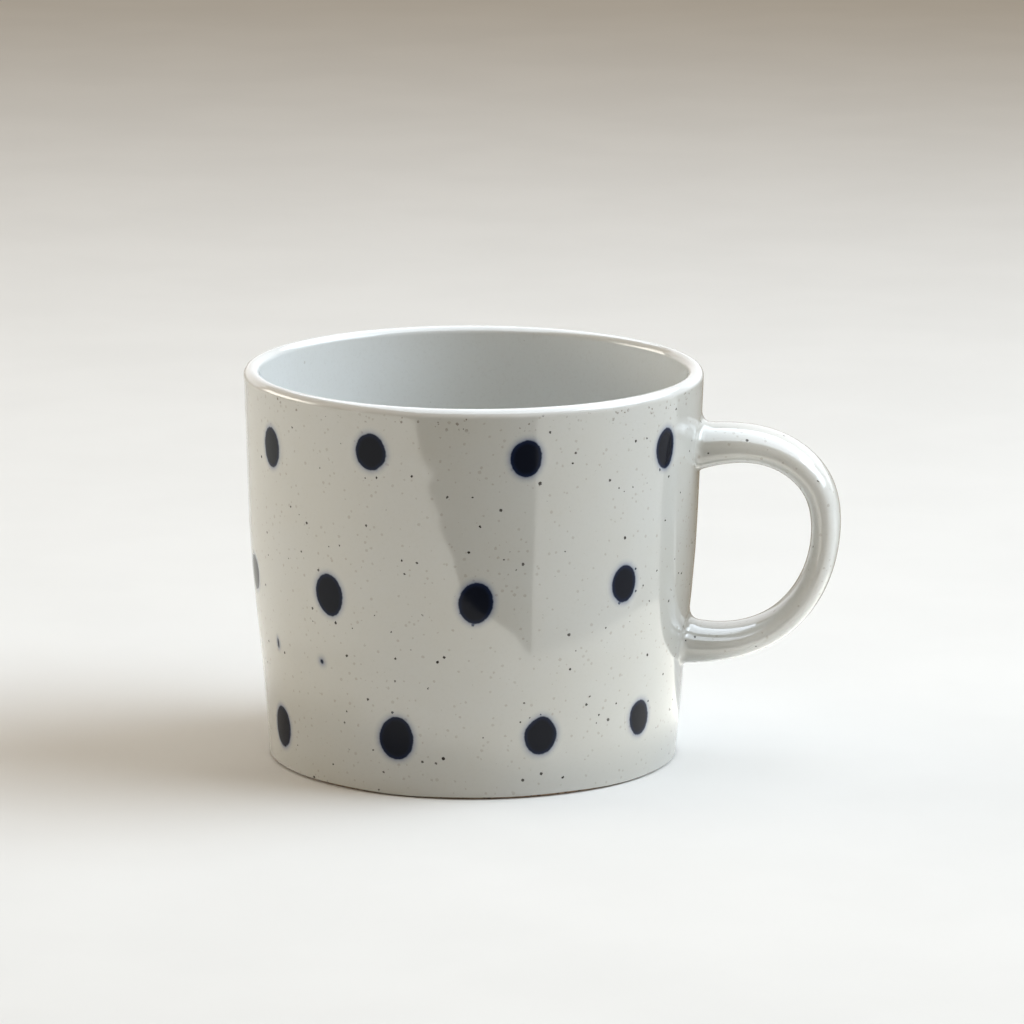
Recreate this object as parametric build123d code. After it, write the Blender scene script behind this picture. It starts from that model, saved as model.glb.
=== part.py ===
from build123d import *
import os

# A straight-sided stoneware mug: a thrown cup, a pulled strap handle luted on by two slip
# joins, a glossy glaze over everything but the foot, and three rows of brushed cobalt dots.
# Millimetres. The origin is on the cup's axis, in the plane of the foot. +Z is up and +X
# points at the handle.

# Driving dimensions
HEIGHT = 77.2
RIM_RADIUS = 45.0
LIP_THICKNESS = 3.06        # the lip is a full round of this width
GLAZE = 0.4                 # thickness of the fired glaze everywhere
GLAZE_LINE = 0.6            # the outside glaze stops this far above the foot
FLOOR_TOP = 6.0             # glazed floor inside the cup
FOOT_BEVEL = 0.5
FOOT_RING_WIDTH = 4.0
FOOT_RECESS = 1.4
RECESS_SLOPE = 1.0          # horizontal run of the slope from the foot ring to the recess
JOIN_FILLET = 2.0           # glazed radius between the handle and the wall

# Glazed outside of the wall, from the glaze line up: (radius, height)
OUTER_WALL = [(40.2, GLAZE_LINE), (41.75, 20.0), (43.6, 40.0), (44.4, 58.0)]
# Glazed inside of the wall, from the floor's corner up: (radius, height)
INNER_WALL = [(36.6, 16.0), (38.6, 30.0), (40.6, 50.0), (41.5, 65.0)]

# The handle's centreline in the XZ plane, from the upper join to the lower one:
# (distance from the axis, height, thickness, width of the strap)
HANDLE = [
    (38.0, 60.8, 10.0, 14.8),
    (48.6, 62.8, 8.0, 14.2),
    (59.3, 61.7, 6.9, 13.6),
    (67.4, 55.0, 6.4, 13.2),
    (69.2, 44.5, 5.8, 13.0),
    (66.2, 34.2, 5.7, 13.0),
    (59.0, 26.4, 6.0, 13.4),
    (48.8, 23.1, 7.1, 14.2),
    (38.0, 23.4, 9.2, 14.8),
]

# The dots were brushed on by eye, so they wander in place and in size, and the middle row
# skips the wall inside the finger loop: (bearing, height, width, tallness). The bearing
# is in degrees counterclockwise from the handle, as seen from above.
TOP_ROW = [
    (27, 66.5, 6.2, 7.4), (64, 67.5, 6.4, 7.8), (103, 67.0, 6.0, 7.2),
    (141, 65.5, 6.5, 7.6), (178, 66.5, 6.3, 7.7), (214.5, 65.3, 5.8, 7.9),
    (249, 68.1, 6.4, 7.2), (288, 67.7, 6.2, 7.2), (330.5, 65.9, 6.0, 7.9),
]
MIDDLE_ROW = [
    (38, 40.5, 6.4, 7.7), (78, 39.0, 6.1, 8.0), (118, 40.0, 6.6, 7.5),
    (157, 38.5, 6.3, 7.8), (197, 37.9, 6.3, 7.0), (235.5, 39.0, 6.6, 8.4),
    (275.5, 39.7, 6.7, 8.1), (316.5, 41.0, 6.1, 7.4),
]
BOTTOM_ROW = [
    (8, 11.5, 6.2, 7.6), (48, 12.5, 6.5, 7.9), (88, 11.0, 6.7, 7.5),
    (127, 12.0, 6.1, 7.8), (168, 10.5, 6.6, 8.0), (210, 8.8, 6.4, 8.5),
    (254, 11.8, 7.0, 8.6), (293.5, 12.5, 6.5, 7.6), (326.5, 12.9, 5.8, 7.1),
]

LIP_RADIUS = LIP_THICKNESS / 2
LIP_CENTRE = Vector(RIM_RADIUS - LIP_RADIUS, 0, HEIGHT - LIP_RADIUS)
FOOT_RADIUS = OUTER_WALL[0][0] - GLAZE - FOOT_BEVEL
RECESS_RADIUS = FOOT_RADIUS - FOOT_RING_WIDTH - RECESS_SLOPE


# Outlines, all in the XZ plane. depth is how far an outline lies below the glaze's surface.

def outer_wall(depth):
    """The outside of the wall, from the glaze line up to the lip."""
    points = [(radius - depth, 0, height) for radius, height in OUTER_WALL]
    return Spline(*points, (RIM_RADIUS - depth, 0, LIP_CENTRE.Z))


def inner_wall(depth):
    """The inside of the wall, from the floor's corner up to the lip."""
    points = [(radius + depth, 0, height) for radius, height in INNER_WALL]
    return Spline(*points, (RIM_RADIUS - LIP_THICKNESS + depth, 0, LIP_CENTRE.Z))


def lip_quarter(depth, side):
    """The quarter of the rounded lip on its outer side (1) or its inner side (-1)."""
    radius = LIP_RADIUS - depth
    middle = LIP_CENTRE + Vector(side, 0, 1).normalized() * radius
    return ThreePointArc(LIP_CENTRE + Vector(side * radius, 0, 0), middle,
                         LIP_CENTRE + Vector(0, 0, radius))


def floor(depth):
    """The cup's floor, out from the axis and round its corner to the inside wall."""
    wall = inner_wall(depth)
    start, up = wall @ 0, wall % 0
    height = FLOOR_TOP - depth
    inward = Vector(-up.Z, 0, up.X)
    radius = (start.Z - height) / (1 - inward.Z)
    centre = start + inward * radius
    end = centre - Vector(0, 0, radius)
    middle = centre - (inward + Vector(0, 0, 1)).normalized() * radius
    return [Line((0, 0, height), end), ThreePointArc(end, middle, start)]


def revolved(*edges):
    """The solid swept about the axis by a closed outline, with its seam at the back."""
    return Rot(0, 0, 180) * revolve(make_face(list(edges)), Axis.Z)


# Solids that the pieces are cut from

def filled_cup(depth):
    """The cup filled solid, from the glaze line up, out to depth below the glaze."""
    wall = outer_wall(depth)
    lip = lip_quarter(depth, 1)
    top, bottom = lip @ 1, wall @ 0
    closing = Polyline(top, (0, 0, top.Z), (0, 0, bottom.Z), bottom)
    return revolved(wall, lip, closing)


def handle_bar(depth):
    """The strap on its centreline, running on into the wall at both ends."""
    points = [Vector(x, 0, z) for x, z, _, _ in HANDLE]
    path = Spline(*points)
    sections = []
    for point, (_, _, thickness, width) in zip(points, HANDLE):
        direction = path % path.param_at_point(point)
        plane = Plane(point, x_dir=(0, 1, 0), z_dir=direction)
        sections.append(plane * Ellipse(width / 2 - depth, thickness / 2 - depth))
    return loft(sections)


def joined(cup, bar, radius):
    """Cup and handle in one, with the corner where they meet filled to a radius."""
    whole = cup + bar
    new_edges = whole.edges() - cup.edges() - bar.edges()
    upper_and_lower = new_edges.sort_by(SortBy.LENGTH)[:2]
    return whole.fillet(radius, upper_and_lower)


# Pieces

def cup_body(outside):
    """The thrown clay: wall, floor and foot ring."""
    inside = inner_wall(GLAZE)
    lip = lip_quarter(GLAZE, -1)
    floor_line, corner = floor(GLAZE)
    top = lip @ 1
    closing = Polyline(top, (0, 0, top.Z), floor_line @ 0)
    hollow = revolved(inside, lip, floor_line, corner, closing)
    ring_inside = FOOT_RADIUS - FOOT_RING_WIDTH
    edge = OUTER_WALL[0][0] - GLAZE
    foot = revolved(Polyline((0, 0, GLAZE_LINE), (edge, 0, GLAZE_LINE), (FOOT_RADIUS, 0, 0),
                             (0, 0, 0), (0, 0, GLAZE_LINE)))
    recess = revolved(Polyline((0, 0, 0), (ring_inside, 0, 0), (RECESS_RADIUS, 0, FOOT_RECESS),
                               (0, 0, FOOT_RECESS), (0, 0, 0)))
    return outside + foot - recess - hollow


def wall_coat():
    """The glaze on the outside wall, up to the crest of the lip, before its holes."""
    outer, inner = outer_wall(0), outer_wall(GLAZE)
    outer_lip, inner_lip = lip_quarter(0, 1), lip_quarter(GLAZE, 1)
    return revolved(outer, outer_lip, Line(outer_lip @ 1, inner_lip @ 1), inner_lip, inner,
                    Line(inner @ 0, outer @ 0))


def liner_glaze():
    """The glaze inside the cup, from the crest of the lip down over the floor."""
    outer_lip, inner_lip = lip_quarter(0, -1), lip_quarter(GLAZE, -1)
    above, below = floor(0), floor(GLAZE)
    return revolved(inner_wall(0), outer_lip, Line(outer_lip @ 1, inner_lip @ 1), inner_lip,
                    inner_wall(GLAZE), *above, *below, Line(above[0] @ 0, below[0] @ 0))


def base_glaze():
    """The disc of glaze inside the foot ring."""
    return Pos(0, 0, FOOT_RECESS - GLAZE / 2) * Cylinder(RECESS_RADIUS, GLAZE)


def brushed_dots(coat):
    """Spots of cobalt-stained glaze, each right through the coat and flush with it."""
    reach = RIM_RADIUS - OUTER_WALL[0][0] + 4 * GLAZE
    spots = []
    for bearing, height, width, tallness in TOP_ROW + MIDDLE_ROW + BOTTOM_ROW:
        plane = Plane.YZ.offset(OUTER_WALL[0][0] - 2 * GLAZE)
        spot = Pos(0, 0, height) * extrude(plane * Ellipse(width / 2, tallness / 2), reach)
        spots.append(Rot(0, 0, bearing) * spot)
    return [coat & spot for spot in spots]


def main():
    clay, glazed = filled_cup(GLAZE), filled_cup(0)
    core, strap = handle_bar(GLAZE), handle_bar(0)
    biscuit = joined(clay, core, JOIN_FILLET + GLAZE)
    lower_join, upper_join = (biscuit - clay - core).solids().sort_by(Axis.Z)
    skin = joined(glazed, strap, JOIN_FILLET) - glazed - biscuit
    coat = wall_coat()
    dots = brushed_dots(coat)
    pieces = {
        "cup_body": cup_body(clay),
        "handle": core - clay,
        "upper_handle_join": upper_join,
        "lower_handle_join": lower_join,
        "outer_glaze": coat - biscuit - dots,
        "liner_glaze": liner_glaze(),
        "base_glaze": base_glaze(),
        "handle_glaze": skin,
        "cobalt_dots": Compound(children=dots),
    }
    os.makedirs("parts", exist_ok=True)
    for name, piece in pieces.items():
        export_step(piece, f"parts/{name}.step")


main()
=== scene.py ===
from math import cos, pi, radians, sin

import bpy
import numpy as np
from mathutils import Matrix, Vector


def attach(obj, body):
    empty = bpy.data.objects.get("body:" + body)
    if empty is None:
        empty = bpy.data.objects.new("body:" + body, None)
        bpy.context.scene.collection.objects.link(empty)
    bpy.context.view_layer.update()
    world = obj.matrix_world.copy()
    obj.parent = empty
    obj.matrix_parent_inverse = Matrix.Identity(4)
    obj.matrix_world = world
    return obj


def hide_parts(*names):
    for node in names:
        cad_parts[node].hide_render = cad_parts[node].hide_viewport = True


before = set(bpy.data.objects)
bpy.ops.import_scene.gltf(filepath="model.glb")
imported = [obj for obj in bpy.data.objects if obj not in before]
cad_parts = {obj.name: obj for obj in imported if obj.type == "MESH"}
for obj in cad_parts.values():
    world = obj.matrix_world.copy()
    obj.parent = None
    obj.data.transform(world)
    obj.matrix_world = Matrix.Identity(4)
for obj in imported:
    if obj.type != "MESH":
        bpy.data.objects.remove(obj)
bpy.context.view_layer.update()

MM = 0.001
rng = np.random.default_rng(7)

# The cup, in millimetres: (radius, height) of the glazed surface, as in the CAD.
HEIGHT = 77.2
RIM_RADIUS = 45.0
LIP_THICKNESS = 3.06
LIP_RADIUS = LIP_THICKNESS / 2
LIP_HEIGHT = HEIGHT - LIP_RADIUS
GLAZE = 0.4                 # thickness of the coat
GLAZE_LINE = 0.5            # height where the outside coat ends
WALL_COLUMNS = 512          # points round the outside wall
OUTER_WALL = [(40.2, 0.6), (41.75, 20.0), (43.6, 40.0), (44.4, 58.0), (RIM_RADIUS, LIP_HEIGHT)]
INNER_WALL = [(36.6, 16.0), (38.6, 30.0), (40.6, 50.0), (41.5, 65.0),
              (RIM_RADIUS - LIP_THICKNESS, LIP_HEIGHT)]
FLOOR_TOP = 6.0             # height of the floor inside
FOOT_RADIUS = 39.3
FOOT_RING_WIDTH = 4.0
FOOT_RECESS = 1.4
RECESS_SLOPE = 1.0
SKIN = 0.05                 # gap that keeps coats and clay from sharing a surface
MARKS_FADE = 12.0           # the throwing marks die out over this much wall under the lip
LIP_SPLIT = 150             # degrees round the lip, from outside, where the two coats meet

# The strap's centreline, upper join to lower join: (x, z, thickness, width)
STRAP = [
    (38.0, 60.8, 10.0, 14.8),
    (48.6, 62.8, 7.7, 14.2),
    (59.3, 61.7, 6.6, 13.6),
    (67.4, 55.0, 6.2, 13.2),
    (69.2, 44.5, 5.7, 13.0),
    (66.2, 34.2, 5.6, 13.0),
    (59.0, 26.4, 5.8, 13.4),
    (48.8, 23.1, 6.8, 14.2),
    (38.0, 23.4, 9.0, 14.8),
]
STRAP_SQUARENESS = 2.5      # exponent of the section's superellipse: 2 is an ellipse
FILLET_SIDE = 1.6           # radius of the slip join at the strap's sides,
FILLET_TOP = 3.0            # where it faces up
FILLET_UNDER = 0.9          # and where it faces down
JOIN_SINK = 0.04            # how far the join's edge and its hidden root
ROOT_SINK = 0.8             # lie under the wall's surface

# Stray touches of the brush: (bearing, height, width, tallness)
SPLASHES = [(211.6, 25.9, 0.7, 1.9), (231.4, 25.0, 0.8, 0.9)]
HALO = 1.6                  # how far the cobalt bleeds into the glaze round a dot
DOT_RISE = 0.015            # a dot's patch stands this proud of the glaze,
DOT_SINK = 0.2              # and its hidden back lies this deep
WOBBLE = 0.028              # how far a dot strays from an ellipse, as a share of its size
TILT = 0.10                 # how far a dot leans, in radians
DOT_REACH = 10.0            # more than a dot's length, less than the gap between dots


def natural_spline(knots, values):
    """A smooth function of one number that passes through values at the knots."""
    knots, values = np.array(knots, float), np.array(values, float)
    steps, last = np.diff(knots), len(knots) - 1
    slopes = np.diff(values, axis=0) / steps[:, None]
    matrix, right = np.eye(last + 1), np.zeros_like(values)
    for i in range(1, last):
        matrix[i, i - 1:i + 2] = steps[i - 1], 2 * (steps[i - 1] + steps[i]), steps[i]
        right[i] = 6 * (slopes[i] - slopes[i - 1])
    bend = np.linalg.solve(matrix, right)

    def at(t):
        t = np.clip(np.asarray(t, float), knots[0], knots[-1])
        i = np.clip(np.searchsorted(knots, t) - 1, 0, last - 1)
        h = steps[i][..., None]
        b = (t - knots[i])[..., None]
        a = h - b
        curve = (bend[i] * a ** 3 + bend[i + 1] * b ** 3) / (6 * h)
        curve = curve + (values[i] / h - bend[i] * h / 6) * a
        return curve + (values[i + 1] / h - bend[i + 1] * h / 6) * b

    return at


outer_radius = natural_spline([z for _, z in OUTER_WALL], [[r] for r, _ in OUTER_WALL])
inner_radius = natural_spline([z for _, z in INNER_WALL], [[r] for r, _ in INNER_WALL])


def throwing_marks(bearing, height):
    """How far hand throwing leaves the wall from its true radius, in mm."""
    oval = 0.05 * np.sin(2 * bearing + 0.03 * height + 0.6)
    sway = 0.035 * np.sin(3 * bearing - 0.09 * height + 2.0)
    rings = 0.005 * np.sin(0.8 * height + bearing)
    fade = np.clip((LIP_HEIGHT - height) / MARKS_FADE, 0, 1)
    return (oval + sway + rings) * fade


def wall_point(bearing, height, depth=0.0):
    """A point of the outside wall, depth below the glaze's surface, in mm."""
    radius = outer_radius(height)[..., 0] + throwing_marks(bearing, height) - depth
    return np.stack([radius * np.cos(bearing), radius * np.sin(bearing), height + 0 * bearing], -1)


# Meshes

SHARP_ANGLE = radians(40)


def mesh_object(name, points, faces):
    """An object from points in mm, its sharp edges kept sharp."""
    mesh = bpy.data.meshes.new(name)
    mesh.from_pydata((np.asarray(points) * MM).tolist(), [], faces)
    mesh.validate()
    mesh.shade_smooth()
    mesh.set_sharp_from_angle(angle=SHARP_ANGLE)
    piece = bpy.data.objects.new(name, mesh)
    bpy.context.collection.objects.link(piece)
    return piece


def band_faces(rows, columns, first=0):
    """Quads between successive rings of vertices, each ring closed on itself."""
    faces = []
    for i in range(rows - 1):
        for j in range(columns):
            a, b = first + i * columns + j, first + i * columns + (j + 1) % columns
            faces.append((a, b, b + columns, a + columns))
    return faces


def closed_band(name, rings):
    """A closed ring-shaped solid: the last ring of points joins the first."""
    rows, columns, _ = rings.shape
    faces = band_faces(rows, columns)
    start = (rows - 1) * columns
    for j in range(columns):
        k = (j + 1) % columns
        faces.append((start + j, start + k, k, j))
    return mesh_object(name, rings.reshape(-1, 3), faces)


def capped_band(name, rings, start, end):
    """A closed solid whose first and last rings close on single points."""
    rows, columns, _ = rings.shape
    faces = band_faces(rows, columns)
    count, last = rows * columns, (rows - 1) * columns
    for j in range(columns):
        k = (j + 1) % columns
        faces.append((count, k, j))
        faces.append((count + 1, last + j, last + k))
    points = np.concatenate([rings.reshape(-1, 3), [start], [end]])
    return mesh_object(name, points, faces)


def turned(profile, columns):
    """Rings of points from a profile of (radius, height)."""
    profile = np.array(profile)
    bearing = np.linspace(0, 2 * pi, columns, endpoint=False)
    radius, height = profile[:, :1], profile[:, 1:]
    return np.stack([radius * np.cos(bearing), radius * np.sin(bearing), height + 0 * bearing], -1)


# Profiles of the cup

def lip(depth, start, end, count):
    """Points round the lip between two angles in degrees, measured from outside."""
    angle = np.radians(np.linspace(start, end, count))
    radius = LIP_RADIUS - depth
    return [(RIM_RADIUS - LIP_RADIUS + radius * cos(a), LIP_HEIGHT + radius * sin(a)) for a in angle]


def inside_profile(depth, count):
    """From the lip down the inside wall, round the corner and in along the floor."""
    heights = np.linspace(LIP_HEIGHT, INNER_WALL[0][1], count)
    wall = [(float(inner_radius(z)[0]) + depth, float(z)) for z in heights]
    low, high = wall[-1], wall[-2]
    slope = Vector((high[0] - low[0], high[1] - low[1])).normalized()
    inward = Vector((-slope.y, slope.x))
    floor_height = FLOOR_TOP - depth
    radius = (low[1] - floor_height) / (1 - inward.y)
    centre = Vector(low) + inward * radius
    first = Vector(-inward).angle_signed(Vector((1, 0)))
    angles = np.linspace(first, -pi / 2, count // 4)[1:]
    corner = [(centre.x + radius * cos(a), centre.y + radius * sin(a)) for a in angles]
    floor = [(centre.x * share, floor_height) for share in np.linspace(1, 0, count // 5)[1:-1]]
    return wall[1:] + corner + floor


def outer_coat():
    """The glaze outside, from its rolled edge above the foot over the lip."""
    bearing = np.linspace(0, 2 * pi, WALL_COLUMNS, endpoint=False)
    line = GLAZE_LINE + 0.09 * np.sin(5 * bearing + 1) + 0.05 * np.sin(11 * bearing)
    rings = []
    for share in np.linspace(0, 1, 124) ** 1.03:
        rings.append(wall_point(bearing, line + share * (LIP_HEIGHT - line)))
    rings.extend(turned(lip(0, 0, LIP_SPLIT, 20)[1:], WALL_COLUMNS))
    rings.extend(turned(lip(GLAZE, LIP_SPLIT, 0, 8), WALL_COLUMNS))
    for height in np.linspace(LIP_HEIGHT, 1.5, 14)[1:]:
        rings.append(wall_point(bearing, 0 * bearing + height, GLAZE))
    for rise, depth in ((0.02, GLAZE), (-0.1, 0.3), (-0.07, 0.08)):     # the rolled edge
        rings.append(wall_point(bearing, line + rise, depth))
    return closed_band("outer_glaze_coat", np.array(rings))


def liner_coat():
    """The glaze inside, from the lip down to the middle of the floor."""
    surface = lip(0, LIP_SPLIT, 180, 6) + inside_profile(0, 110)
    under = inside_profile(GLAZE, 30)[::-1] + lip(GLAZE, 180, LIP_SPLIT, 3)
    rings = turned(under + surface, 384)
    return capped_band("liner_glaze_coat", rings, (0, 0, FLOOR_TOP - GLAZE), (0, 0, FLOOR_TOP))


def clay_cup():
    """The thrown clay under the coats, with its bare foot ring."""
    ring_inside = FOOT_RADIUS - FOOT_RING_WIDTH
    foot = [(ring_inside - RECESS_SLOPE - 0.6, FOOT_RECESS), (ring_inside - RECESS_SLOPE, FOOT_RECESS),
            (ring_inside - 0.75, FOOT_RECESS * 0.8), (ring_inside - 0.25, 0.25), (ring_inside, 0.06),
            (ring_inside + 0.35, 0.0), (FOOT_RADIUS - 0.3, 0.0), (FOOT_RADIUS + 0.05, 0.05),
            (FOOT_RADIUS + 0.35, 0.25), (OUTER_WALL[0][0] - GLAZE, 0.75)]
    heights = np.linspace(1.5, LIP_HEIGHT, 30)
    depth = GLAZE + 2 * SKIN
    wall = [(float(outer_radius(z)[0]) - depth, float(z)) for z in heights]
    inside = [(r + SKIN, z) for r, z in inside_profile(GLAZE + SKIN, 40)]
    rings = turned(foot + wall + lip(depth, 0, 180, 12)[1:] + inside, 256)
    return capped_band("clay_cup", rings, (0, 0, FOOT_RECESS), (0, 0, FLOOR_TOP - GLAZE))


def base_coat():
    """The disc of glaze inside the foot ring, with a rolled edge."""
    edge = FOOT_RADIUS - FOOT_RING_WIDTH - RECESS_SLOPE
    low = FOOT_RECESS - GLAZE
    under = [(edge * s, low) for s in np.linspace(0.02, 0.97, 24)]
    roll = [(edge - 0.35, low + 0.02), (edge - 0.12, low + 0.12), (edge, low + 0.3)]
    top = [(edge, FOOT_RECESS + SKIN), (edge * 0.5, FOOT_RECESS + SKIN)]
    rings = turned(under + roll + top, 256)
    return capped_band("base_glaze_coat", rings, (0, 0, low), (0, 0, FOOT_RECESS + SKIN))


# The strap

def strap_surface(stations, turns):
    """Points of the strap for each station (0 to 1) and each angle round the section."""
    spans = np.diff([(x, z) for x, z, _, _ in STRAP], axis=0)
    knots = np.concatenate([[0], np.cumsum(np.hypot(*spans.T))])
    run = natural_spline(knots / knots[-1], STRAP)
    x, z, thickness, width = np.moveaxis(run(stations), -1, 0)
    step = 1e-4
    ahead = run(stations + step) - run(stations - step)
    along = ahead[..., :2] / np.hypot(ahead[..., 0], ahead[..., 1])[..., None]
    power = 2 / STRAP_SQUARENESS
    out = np.sign(np.cos(turns)) * np.abs(np.cos(turns)) ** power * thickness / 2
    side = np.sign(np.sin(turns)) * np.abs(np.sin(turns)) ** power * width / 2
    return np.stack([x - along[..., 1] * out, side, z + along[..., 0] * out], -1)


def wall_crossing(line):
    """Where a line that starts inside the wall comes out, and its first point outside."""
    bearing = np.arctan2(line[:, 1], line[:, 0])
    wall = wall_point(bearing, line[:, 2])
    gap = np.hypot(line[:, 0], line[:, 1]) - np.linalg.norm(wall[:, :2], axis=1)
    first = int(np.argmax(gap > 0))
    share = gap[first] / (gap[first] - gap[first - 1])
    return line[first] + (line[first - 1] - line[first]) * share, first


def fillet_radius(up):
    """Radius of a join where its outward direction has this much up in it, -1 to 1."""
    facing = FILLET_TOP if up > 0 else FILLET_UNDER
    return FILLET_SIDE + (facing - FILLET_SIDE) * abs(up) ** 1.5


def join_fillet(line, middle):
    """The points that run one line of the strap's surface onto the wall.

    line starts inside the wall, and middle is the strap's centreline beside it. The
    second result is the index where the fillet meets the line.
    """
    corner, first = wall_crossing(line)
    outward = corner - middle[first]
    wall_normal = np.array([corner[0], corner[1], 0]) / np.hypot(corner[0], corner[1])
    outward -= outward @ wall_normal * wall_normal
    outward /= np.linalg.norm(outward)
    radius = fillet_radius(outward[2])
    steps = np.linalg.norm(np.diff(line[first:], axis=0), axis=1)
    lengths = np.concatenate([[0], np.cumsum(steps)])
    begin = first + int(np.argmax(lengths > radius))
    on_wall = corner + outward * radius
    toe = wall_point(np.arctan2(on_wall[1], on_wall[0]), on_wall[2], JOIN_SINK)
    root = wall_point(np.arctan2(toe[1], toe[0]), toe[2], ROOT_SINK)
    t = np.linspace(0, 1, 13)[:, None]
    fillet = (1 - t) ** 2 * toe + 2 * t * (1 - t) * corner + t ** 2 * line[begin]
    return np.vstack([[root], fillet[:-1]]), begin


def strap_coat():
    """The glazed strap, flowing onto the wall at both joins."""
    turns = 2 * pi * (np.arange(96) + 0.5) / 96
    stations = np.linspace(0.0, 1.0, 1201)
    surface = strap_surface(*np.meshgrid(stations, turns, indexing="ij"))
    centre = surface.mean(axis=1)
    columns = []
    for j in range(len(turns)):
        column = surface[:, j]
        upper, begin = join_fillet(column, centre)
        lower, end = join_fillet(column[::-1], centre[::-1])
        last = len(stations) - 1 - end
        keep = np.linspace(stations[begin], stations[last], 150)
        body = np.stack([np.interp(keep, stations, column[:, k]) for k in range(3)], -1)
        columns.append(np.vstack([upper, body, lower[::-1]]))
    rings = np.swapaxes(np.array(columns), 0, 1)
    return capped_band("handle_glaze_coat", rings, rings[0].mean(axis=0), rings[-1].mean(axis=0))


# The dots

def dot_places():
    """(bearing, height, width, tallness) of each dot of the CAD, in degrees and mm."""
    points = np.array([v.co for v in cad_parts["cobalt_dots"].data.vertices]) / MM
    places = []
    while len(points):
        near = np.linalg.norm(points - points[0], axis=1) < DOT_REACH
        spot, points = points[near], points[~near]
        bearing = np.arctan2(spot[:, 1].mean(), spot[:, 0].mean())
        across = spot[:, 1] * cos(bearing) - spot[:, 0] * sin(bearing)
        low, high = spot[:, 2].min(), spot[:, 2].max()
        places.append((np.degrees(bearing) % 360, (low + high) / 2, np.ptp(across), high - low))
    return sorted(places)


def brush_wobble(turns):
    """How far the edge of a brushed dot strays at each angle, as a share of its size."""
    wobble = 0
    for k in range(1, 6):
        size = rng.normal(0, WOBBLE / k)
        wobble = wobble + size * np.cos(k * turns + rng.uniform(0, 2 * pi))
    return wobble


def brushed_dots():
    """Each dot as a thin patch flush with the glaze, carrying how deep it is stained."""
    turns = np.linspace(0, 2 * pi, 72, endpoint=False)
    points, faces, stain = [], [], []
    for bearing, height, width, tallness in dot_places() + SPLASHES:
        edge = 1 + brush_wobble(turns)
        tilt = rng.normal(0, TILT)
        size = (width + tallness) / 4
        rings = list(np.linspace(0.06, 1, 14)) + list(np.linspace(1, 1 + HALO / size, 10)[1:])
        first = len(points)
        for ring in rings + [rings[-1]]:
            flat = ring * edge if ring <= 1 else edge + (ring - 1)
            x, y = flat * np.cos(turns) * width / 2, flat * np.sin(turns) * tallness / 2
            across, up = x * cos(tilt) - y * sin(tilt), x * sin(tilt) + y * cos(tilt)
            under = len(points) - first == len(rings) * len(turns)
            z = height + up
            place = radians(bearing) + across / outer_radius(z)[..., 0]
            points.extend(wall_point(place, z, DOT_SINK if under else -DOT_RISE))
            distance = (flat - edge) * np.hypot(np.cos(turns) * width, np.sin(turns) * tallness) / 2
            stain.extend(distance)
        rows = len(rings) + 1
        faces.extend(band_faces(rows, len(turns), first))
        centre = np.array([radians(bearing)]), np.array([height])
        points.extend(wall_point(*centre, -DOT_RISE))
        points.extend(wall_point(*centre, DOT_SINK))
        stain.extend([-size, -size])
        top, last = first + rows * len(turns), first + (rows - 1) * len(turns)
        for j in range(len(turns)):
            k = (j + 1) % len(turns)
            faces.append((top, first + k, first + j))
            faces.append((top + 1, last + j, last + k))
    piece = mesh_object("brushed_dots", points, faces)
    layer = piece.data.attributes.new("from_edge", "FLOAT", "POINT")
    layer.data.foreach_set("value", np.array(stain, np.float32))
    return piece


# Materials

def new_material(name):
    """A node material: the material, its tree and its shader."""
    material = bpy.data.materials.new(name)
    material.use_nodes = True
    tree = material.node_tree
    return material, tree, tree.nodes["Principled BSDF"]


def add(tree, kind, **settings):
    """A node, with its properties set by name and its inputs by in_NAME."""
    node = tree.nodes.new(kind)
    for key, value in settings.items():
        if key.startswith("in_"):
            node.inputs[key[3:].replace("_", " ")].default_value = value
        else:
            setattr(node, key, value)
    return node


def ramp(tree, source, low, high, smooth=True):
    """0 below low, 1 above high."""
    node = add(tree, "ShaderNodeMapRange", interpolation_type="SMOOTHSTEP" if smooth else "LINEAR")
    node.inputs["From Min"].default_value = low
    node.inputs["From Max"].default_value = high
    tree.links.new(source, node.inputs["Value"])
    return node.outputs["Result"]


def maths(tree, operation, a, b):
    """A sum, product and so on of two numbers or sockets."""
    node = add(tree, "ShaderNodeMath", operation=operation)
    for socket, value in zip(node.inputs, (a, b)):
        if isinstance(value, (int, float)):
            socket.default_value = value
        else:
            tree.links.new(value, socket)
    return node.outputs[0]


def mixed(tree, share, first, second):
    """A colour part of the way from first to second."""
    node = add(tree, "ShaderNodeMix", data_type="RGBA")
    for socket, value in ((node.inputs[0], share), (node.inputs[6], first), (node.inputs[7], second)):
        if isinstance(value, bpy.types.NodeSocket):
            tree.links.new(value, socket)
        elif isinstance(value, tuple):
            socket.default_value = (*value, 1.0)
        else:
            socket.default_value = value
    return node.outputs[2]


def coordinates(tree):
    """Object position in millimetres."""
    place = add(tree, "ShaderNodeTexCoord")
    scale = add(tree, "ShaderNodeVectorMath", operation="SCALE", in_Scale=1 / MM)
    tree.links.new(place.outputs["Object"], scale.inputs[0])
    return scale.outputs[0]


def noise(tree, place, scale, detail=2.0, roughness=0.5):
    """Smooth noise round 0.5, scale patches to the millimetre."""
    node = add(tree, "ShaderNodeTexNoise", in_Scale=scale, in_Detail=detail, in_Roughness=roughness)
    tree.links.new(place, node.inputs["Vector"])
    return node.outputs["Fac"]


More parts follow.
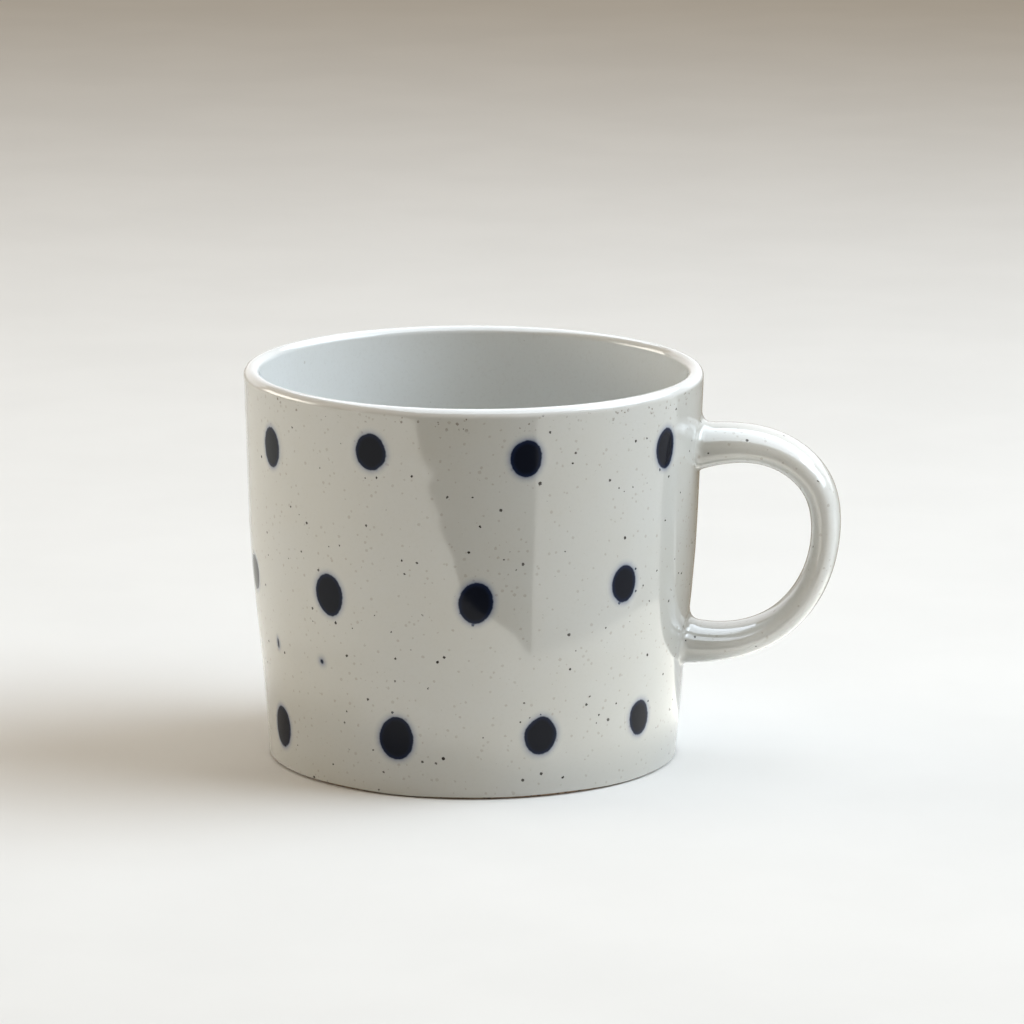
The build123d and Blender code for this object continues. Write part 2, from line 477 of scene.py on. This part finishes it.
def specks(tree, place, spacing, radius, share):
    """1 inside scattered specks: one cell in each spacing, of which share hold a speck."""
    askew = add(tree, "ShaderNodeMapping", in_Rotation=SPECK_TURN)
    tree.links.new(place, askew.inputs["Vector"])
    cells = add(tree, "ShaderNodeTexVoronoi", in_Scale=1 / spacing, in_Randomness=1.0)
    tree.links.new(askew.outputs["Vector"], cells.inputs["Vector"])
    pick = add(tree, "ShaderNodeSeparateColor")
    tree.links.new(cells.outputs["Color"], pick.inputs[0])
    size = maths(tree, "MULTIPLY", maths(tree, "ADD", pick.outputs[1], 0.5), radius / spacing / 1.5)
    rough = maths(tree, "SUBTRACT", noise(tree, place, 4.0), 0.5)
    ragged = maths(tree, "MULTIPLY", rough, radius / spacing)
    inside = maths(tree, "SUBTRACT", maths(tree, "ADD", size, ragged), cells.outputs["Distance"])
    spot = ramp(tree, inside, *SPECK_EDGE)
    chosen = maths(tree, "LESS_THAN", pick.outputs[0], share)
    strength = maths(tree, "ADD", maths(tree, "MULTIPLY", pick.outputs[2], 0.2), 0.8)
    return maths(tree, "MULTIPLY", maths(tree, "MULTIPLY", spot, chosen), strength)


def axis(tree, place, letter):
    """One coordinate of a place, in millimetres."""
    split = add(tree, "ShaderNodeSeparateXYZ")
    tree.links.new(place, split.inputs[0])
    return split.outputs[letter]


def glaze_colour(tree, place, base, warm, speck_share):
    """Cloudy grey-white glaze over speckled stoneware, and where its dark specks are."""
    clouds = ramp(tree, noise(tree, place, 0.045, 3.0), 0.35, 0.7)
    colour = mixed(tree, maths(tree, "MULTIPLY", clouds, 0.6), base, warm)
    mist = ramp(tree, noise(tree, place, 1.6, 3.0, 0.7), 0.5, 0.75)
    colour = mixed(tree, maths(tree, "MULTIPLY", mist, 0.12), colour, DULL_GLAZE)
    faint = specks(tree, place, *FAINT_SPECKS, speck_share)
    colour = mixed(tree, maths(tree, "MULTIPLY", faint, 0.3), colour, IRON_BROWN)
    dark = specks(tree, place, *DARK_SPECKS, speck_share * 0.45)
    return mixed(tree, dark, colour, IRON_BLACK), dark


def lip_glaze_and_painted_highlight(tree, place, colour):
    """The whiter glaze over the lip, part liner glaze lapping over it and part painted highlight for
    the rim's gloss, and the rusty freckles in patches under it.
    """
    height = axis(tree, place, "Z")
    patches = ramp(tree, noise(tree, place, 0.16, 2.0), 0.47, 0.58)
    band = maths(tree, "MULTIPLY", ramp(tree, height, *FRECKLE_BAND), patches)
    freckles = maths(tree, "MULTIPLY", specks(tree, place, *FRECKLES), band)
    colour = mixed(tree, maths(tree, "MULTIPLY", freckles, 0.8), colour, RUST)
    # The lip's white is partly painted highlight: the rim's gloss catching the overhead light, painted
    # into its colour.
    wave = maths(tree, "MULTIPLY", noise(tree, place, 0.12), 0.8)
    white = ramp(tree, maths(tree, "SUBTRACT", height, wave), *LIP_LAP_AND_HIGHLIGHT)
    return mixed(tree, white, colour, LIP_WHITE_AND_HIGHLIGHT)


def relief(tree, shader, height, strength, distance):
    """Bumps on a shader, distance in mm."""
    bump = add(tree, "ShaderNodeBump", in_Strength=strength, in_Distance=distance * MM)
    tree.links.new(height, bump.inputs["Height"])
    tree.links.new(bump.outputs[0], shader.inputs["Normal"])


def glaze_relief(tree, place, shader):
    """The slight orange peel of a fired gloss glaze."""
    fine = maths(tree, "MULTIPLY", noise(tree, place, 0.7, 2.0), 0.3)
    broad = maths(tree, "MULTIPLY", noise(tree, place, 0.14, 1.0), 0.5)
    relief(tree, shader, maths(tree, "ADD", fine, broad), 0.25, 0.06)


def gloss(tree, place, shader):
    """The gloss of fired glaze, its roughness varying a little over the surface."""
    spread = add(tree, "ShaderNodeMapRange", in_From_Min=0.3, in_From_Max=0.7,
                 in_To_Min=GLAZE_ROUGHNESS[0], in_To_Max=GLAZE_ROUGHNESS[1])
    tree.links.new(noise(tree, place, 0.25, 2.0), spread.inputs["Value"])
    tree.links.new(spread.outputs[0], shader.inputs["Roughness"])
    shader.inputs["IOR"].default_value = GLAZE_IOR


def dulled(tree, shader, share):
    """Less gloss where the stain or the iron has soaked up the glaze."""
    level = add(tree, "ShaderNodeMapRange", in_To_Min=GLAZE_SPECULAR, in_To_Max=STAIN_SPECULAR)
    tree.links.new(share, level.inputs["Value"])
    tree.links.new(level.outputs[0], shader.inputs["Specular IOR Level"])


GLAZE_IOR = 1.6
GLAZE_ROUGHNESS = (0.06, 0.10)
GLAZE_SPECULAR = 0.5        # Blender's specular level: 0.5 leaves the gloss as the IOR gives it
STAIN_SPECULAR = 0.06
SPECK_TURN = (0.5, 0.8, 0.3)    # keeps the rows of specks from lining up with the cup
SPECK_EDGE = (-0.012, 0.01)     # how soft a speck's edge is, in spacings
FAINT_SPECKS = (1.1, 0.34)      # spacing and radius, in mm
DARK_SPECKS = (1.7, 0.35)
FRECKLES = (0.8, 0.36, 0.36)    # spacing, radius and share
FRECKLE_BAND = (72.2, 74.6)     # heights over which the freckles begin
LIP_LAP_AND_HIGHLIGHT = (75.0, 75.9)          # and over which the white of the lip does, part lapped liner glaze and part painted highlight
STRAP_PAINTED_LIGHT_RAMP = (45.0, 57.0)      # distances over which the strap's glaze turns into a brighter copy of the wall's: painted light
WALL_SPECKS = 0.38              # share of the places for a speck that hold one
STRAP_SPECKS = 0.3
LINER_SPECKS = 0.01
GLAZE_WHITE = (0.485, 0.488, 0.462)
GLAZE_WARM = (0.48, 0.474, 0.432)
# the strap's glaze, a brighter copy of the wall's: painted light for the light falling on the handle
STRAP_PAINTED_LIGHT_WHITE = (0.64, 0.645, 0.62)
STRAP_PAINTED_LIGHT_WARM = (0.62, 0.615, 0.575)
LINER_WHITE = (0.645, 0.665, 0.66)
LINER_WARM = (0.625, 0.64, 0.625)
# the lip's white: part liner glaze, part painted highlight
LIP_WHITE_AND_HIGHLIGHT = (0.66, 0.665, 0.65)
DULL_GLAZE = (0.36, 0.34, 0.30)
IRON_BROWN = (0.20, 0.14, 0.085)
IRON_BLACK = (0.018, 0.013, 0.010)
RUST = (0.12, 0.09, 0.06)
HALO_BLUE = (0.085, 0.125, 0.225)
COBALT_DEEP = (0.006, 0.0075, 0.013)
COBALT_THIN = (0.009, 0.014, 0.036)
CLAY_DARK = (0.23, 0.155, 0.10)
CLAY_LIGHT = (0.40, 0.30, 0.21)
CLAY_GRIT = (0.08, 0.05, 0.03)


def glaze(name, speck_share, base=GLAZE_WHITE, warm=GLAZE_WARM):
    """Speckled gloss glaze, with what only the wall's or the strap's coat has."""
    material, tree, shader = new_material(name)
    place = coordinates(tree)
    colour, dark = glaze_colour(tree, place, base, warm, speck_share)
    if name == "speckled_glaze":
        colour = lip_glaze_and_painted_highlight(tree, place, colour)
    # The strap is painted brighter than the wall as painted light, blending from the wall's colour at
    # the joins.
    if name == "strap_glaze":
        painted_light_share = ramp(tree, axis(tree, place, "X"), *STRAP_PAINTED_LIGHT_RAMP)
        like_wall, _ = glaze_colour(tree, place, GLAZE_WHITE, GLAZE_WARM, speck_share)
        colour = mixed(tree, painted_light_share, like_wall, colour)
    tree.links.new(colour, shader.inputs["Base Color"])
    dulled(tree, shader, dark)
    gloss(tree, place, shader)
    glaze_relief(tree, place, shader)
    return material


def cobalt():
    """Brushed cobalt under the same gloss, bleeding into the glaze round its edge."""
    material, tree, shader = new_material("cobalt")
    place = coordinates(tree)
    ground, dark = glaze_colour(tree, place, GLAZE_WHITE, GLAZE_WARM, WALL_SPECKS)
    distance = add(tree, "ShaderNodeAttribute", attribute_name="from_edge").outputs["Fac"]
    rough = maths(tree, "SUBTRACT", noise(tree, place, 1.2), 0.5)
    distance = maths(tree, "ADD", distance, maths(tree, "MULTIPLY", rough, 0.3))
    halo = maths(tree, "POWER", ramp(tree, distance, HALO, -0.1, smooth=False), 2.0)
    core = ramp(tree, distance, 0.16, -0.16)
    thin = ramp(tree, distance, -1.1, 0.0)
    blue = mixed(tree, thin, COBALT_DEEP, COBALT_THIN)
    colour = mixed(tree, maths(tree, "MULTIPLY", halo, 0.75), ground, HALO_BLUE)
    colour = mixed(tree, core, colour, blue)
    dulled(tree, shader, maths(tree, "MAXIMUM", core, dark))
    tree.links.new(colour, shader.inputs["Base Color"])
    gloss(tree, place, shader)
    glaze_relief(tree, place, shader)
    return material


def bare_clay():
    """Fired stoneware without glaze: brown, dry and sandy."""
    material, tree, shader = new_material("bare_clay")
    place = coordinates(tree)
    grain = noise(tree, place, 2.2, 5.0, 0.7)
    colour = mixed(tree, ramp(tree, grain, 0.3, 0.7), CLAY_DARK, CLAY_LIGHT)
    colour = mixed(tree, specks(tree, place, 0.9, 0.5, 0.5), colour, CLAY_GRIT)
    tree.links.new(colour, shader.inputs["Base Color"])
    relief(tree, shader, grain, 0.6, 0.08)
    shader.inputs["Roughness"].default_value = 0.9
    return material


def paint(piece, material):
    """Gives a piece one material instead of those it had."""
    piece.data.materials.clear()
    piece.data.materials.append(material)


# Putting the mug together

def build_mug():
    """The visible pieces, each with its material and the CAD nodes it replaces."""
    speckled = glaze("speckled_glaze", WALL_SPECKS)
    strap_glaze = glaze("strap_glaze", STRAP_SPECKS, STRAP_PAINTED_LIGHT_WHITE, STRAP_PAINTED_LIGHT_WARM)
    liner = glaze("liner_glaze", LINER_SPECKS, LINER_WHITE, LINER_WARM)
    clay, blue = bare_clay(), cobalt()
    pieces = [
        (outer_coat(), speckled, "speckled_glaze", ["outer_glaze"]),
        (liner_coat(), liner, "liner_glaze", ["liner_glaze"]),
        (base_coat(), liner, "liner_glaze", ["base_glaze"]),
        (strap_coat(), strap_glaze, "speckled_glaze",
         ["handle_glaze", "upper_handle_join", "lower_handle_join"]),
        (brushed_dots(), blue, "cobalt", ["cobalt_dots"]),
        (clay_cup(), clay, "bare_clay", ["cup_body"]),
    ]
    for piece, material, slot, nodes in pieces:
        paint(piece, material)
        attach(piece, "root")
        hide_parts(*nodes)
    paint(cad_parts["handle"], clay)


# The studio. Its bearings are in degrees from the camera's, growing towards the handle.

CAMERA_BEARING = -85.0      # from the handle's, in degrees, counterclockwise from above
CAMERA_ELEVATION = 12.55
CAMERA_DISTANCE = 1.2615
CAMERA_LENS = 225.2
CAMERA_ROLL = 0.21
AIM_RIGHT = 7.59 * MM
AIM_UP = 9.17 * MM

FLOOR_SIZE = 8
FLOOR_DARK = (0.775, 0.77, 0.755)
FLOOR_LIGHT = (0.795, 0.79, 0.775)
ROOM_COLOUR = (1.0, 0.83, 0.62)
ROOM_STRENGTH = 0.38
LIGHT_DISTANCE = 1.3
LIGHT_SPREAD = 80
LIGHTS = {                  # bearing, elevation, size in metres, power and colour
    "key": (92, 38, (1.3, 1.0), 5.8, (0.88, 1.0, 1.12)),
    "fill": (-106, 12, (1.0, 0.4), 1.65, (1.0, 0.95, 0.86)),
    "top": (170, 75, (1.3, 1.3), 1.1, (0.95, 1.0, 1.05)),
}

# What the gloss mirrors: glows, bearings, and distances from the mug's axis in mm
CLOTH_GLOW = (1.15, 1.12, 1.0)
DARK_ROOM = (0.02, 0.02, 0.02)
BACK_ROOM = (0.30, 0.25, 0.18)
SKY_GLOW = (4.0, 4.4, 4.85)
WALL_GLOW = (1.3, 1.3, 1.3)
SHEET_HEIGHT = 0.5
LEFT_END, RIGHT_END = -150, 117         # bearings where the bright cloth ends
BACK_END = 178
BACK_START, BACK_LENGTH = 110, 800
FAR_EDGE = 700
TABLE_EDGE = 105                        # where the dark room begins
NEAR_EDGE = FOOT_RADIUS + 5
NEAR_FADE = 24                          # the near cloth brightens over this distance
# Each pair of lists is a curve: where, and the value there
DARK_LEFT = ([105, 131, 149, 188, 223, 257, 294, 700],      # distances, and bearings of the
             [24, 8, -5, -8, -13.4, -19.8, -26, -44])       # dark room's left side
DARK_RIGHT = ([105, 293, 700], [25.2, 29.2, 33.2])          # the same for its right side
RIGHT_EDGE = ([25, 55, 86, 130], [105, 111, 131, 150])      # bearings, and where the near
NEAR_START = ([-60, 30], [66, 42])                          # cloth ends and where it begins
LEFT_STRENGTH = ([LEFT_END, -70], [0.45, 1])                # bearings, and how bright it is
RIGHT_STRENGTH = ([70, RIGHT_END], [0.5, 0.15])
NEAR_STRENGTH = ([LEFT_END, -70, 0, 60], [0.1, 0.75, 1, 1.4])


def towards(bearing, elevation):
    """Unit vector pointing from the mug to a bearing from the handle and an elevation."""
    a, e = radians(bearing), radians(elevation)
    return Vector((cos(a) * cos(e), sin(a) * cos(e), sin(e)))


def studio_camera():
    """The photograph's viewpoint."""
    data = bpy.data.cameras.new("camera")
    data.lens = CAMERA_LENS
    data.sensor_width = 36
    data.clip_start, data.clip_end = 0.05, 30
    camera = bpy.data.objects.new("camera", data)
    bpy.context.collection.objects.link(camera)
    middle = Vector((0, 0, HEIGHT / 2 * MM))
    back = towards(CAMERA_BEARING, CAMERA_ELEVATION)
    camera.location = middle + back * CAMERA_DISTANCE
    right = Vector((0, 0, 1)).cross(back).normalized()
    up = back.cross(right)
    aim = middle + right * AIM_RIGHT + up * AIM_UP
    look = (aim - camera.location).to_track_quat("-Z", "Y")
    camera.rotation_mode = "QUATERNION"
    camera.rotation_quaternion = look @ Matrix.Rotation(radians(CAMERA_ROLL), 3, "Z").to_quaternion()
    bpy.context.scene.camera = camera


def area_light(name, bearing, elevation, size, power, colour):
    """A soft rectangular light that faces the mug."""
    data = bpy.data.lights.new(name, "AREA")
    data.shape = "RECTANGLE"
    data.size, data.size_y = size
    data.spread = radians(LIGHT_SPREAD)
    data.energy = power
    data.color = colour
    light = bpy.data.objects.new(name, data)
    bpy.context.collection.objects.link(light)
    away = towards(CAMERA_BEARING + bearing, elevation)
    light.location = away * LIGHT_DISTANCE + Vector((0, 0, HEIGHT / 2 * MM))
    light.rotation_mode = "QUATERNION"
    light.rotation_quaternion = away.to_track_quat("Z", "Y")


def studio():
    """The floor, the dim warm room and the lights."""
    bpy.ops.mesh.primitive_plane_add(size=FLOOR_SIZE)
    floor = bpy.context.object
    floor.name = "floor"
    material, tree, shader = new_material("floor")
    grain = noise(tree, coordinates(tree), 0.02, 3.0)
    colour = mixed(tree, ramp(tree, grain, 0.3, 0.7), FLOOR_DARK, FLOOR_LIGHT)
    tree.links.new(colour, shader.inputs["Base Color"])
    shader.inputs["Roughness"].default_value = 1.0
    shader.inputs["Specular IOR Level"].default_value = 0.0
    paint(floor, material)
    world = bpy.data.worlds.new("world")
    bpy.context.scene.world = world
    world.use_nodes = True
    sky = world.node_tree.nodes["Background"]
    sky.inputs["Color"].default_value = (*ROOM_COLOUR, 1)
    sky.inputs["Strength"].default_value = ROOM_STRENGTH
    for name, settings in LIGHTS.items():
        area_light(name, *settings)
    bpy.context.scene.view_settings.view_transform = "Standard"


def reflector(name, grid, colour, strength=None, veil=False):
    """A glowing card that only reflections see, from a grid of points in mm.

    With strength, one number for each point, the card is clear and its glow is added
    to whatever lies behind it. A veil also hides what lies behind it where its glow is weak.
    """
    rows, columns, _ = grid.shape
    faces = [(i, i + 1, i + columns + 1, i + columns)
             for i in range((rows - 1) * columns) if (i + 1) % columns]
    card = mesh_object(name, grid.reshape(-1, 3), faces)
    material, tree, _ = new_material(name)
    glow = add(tree, "ShaderNodeEmission", in_Color=(*colour, 1.0))
    result = glow.outputs[0]
    if strength is not None:
        layer = card.data.attributes.new("strength", "FLOAT", "POINT")
        layer.data.foreach_set("value", strength.astype(np.float32).ravel())
        share = add(tree, "ShaderNodeAttribute", attribute_name="strength").outputs["Fac"]
        tree.links.new(share, glow.inputs["Strength"])
        clear = add(tree, "ShaderNodeBsdfTransparent")
        if veil:
            tree.links.new(share, clear.inputs["Color"])
        both = add(tree, "ShaderNodeAddShader")
        tree.links.new(glow.outputs[0], both.inputs[0])
        tree.links.new(clear.outputs[0], both.inputs[1])
        result = both.outputs[0]
    tree.links.new(result, tree.nodes["Material Output"].inputs["Surface"])
    paint(card, material)
    card.visible_camera = card.visible_diffuse = card.visible_shadow = False


def floor_grid(reach, bearing):
    """Points just above the floor, at distances in mm and bearings."""
    reach, bearing = np.broadcast_arrays(reach, np.radians(CAMERA_BEARING + bearing))
    return np.stack([reach * np.cos(bearing), reach * np.sin(bearing), SHEET_HEIGHT + 0 * reach], -1)


def floor_sheets():
    """Bright cloth round the mug, with the dark room beyond it in the middle of the view."""
    across = np.linspace(0, 1, 60)
    away = np.linspace(0, 1, 120)[:, None]
    far = TABLE_EDGE + (FAR_EDGE - TABLE_EDGE) * away
    left, right = np.interp(far, *DARK_LEFT), np.interp(far, *DARK_RIGHT)
    reflector("dark_sheet", floor_grid(far, left + (right - left) * across), DARK_ROOM)

    bearing = LEFT_END + (left - LEFT_END) * across
    strength = np.interp(bearing, *LEFT_STRENGTH)
    reflector("left_sheet", floor_grid(far, bearing), CLOTH_GLOW, strength, veil=True)

    bearing = right + (RIGHT_END - right) * across
    reach = far + (np.interp(bearing, *RIGHT_EDGE) - TABLE_EDGE) * (1 - away)
    strength = np.interp(bearing, *RIGHT_STRENGTH)
    reflector("right_sheet", floor_grid(reach, bearing), CLOTH_GLOW, strength)

    bearing = LEFT_END + (RIGHT_END - LEFT_END) * across
    reach = NEAR_EDGE + (np.interp(bearing, *RIGHT_EDGE) - NEAR_EDGE) * away
    fade = np.clip((reach - np.interp(bearing, *NEAR_START)) / NEAR_FADE, 0, 1)
    strength = fade * fade * (3 - 2 * fade) * np.interp(bearing, *NEAR_STRENGTH)
    reflector("near_sheet", floor_grid(reach, bearing), CLOTH_GLOW, strength)

    bearing = RIGHT_END + (BACK_END - RIGHT_END) * across
    reflector("back_sheet", floor_grid(BACK_START + BACK_LENGTH * away, bearing), BACK_ROOM)


def room_point(right, beyond, up):
    """A point in mm: to the right of the mug, beyond it and up, as the camera sees them."""
    beyond_mug = -towards(CAMERA_BEARING, 0) * beyond
    return tuple(beyond_mug + towards(CAMERA_BEARING + 90, 0) * right + Vector((0, 0, up)))


def room_cards():
    """The bright sky above and the pale wall behind that the lip and the strap mirror."""
    overhead = [[room_point(x, y, 1000) for x in (-500, 1500)] for y in (-750, 1500)]
    reflector("overhead_sheet", np.array(overhead), SKY_GLOW)
    behind = [[room_point(x, 2000, z) for x in (-2000, 2000)] for z in (60, 1200)]
    reflector("behind_sheet", np.array(behind), WALL_GLOW)


build_mug()
studio_camera()
studio()
floor_sheets()
room_cards()
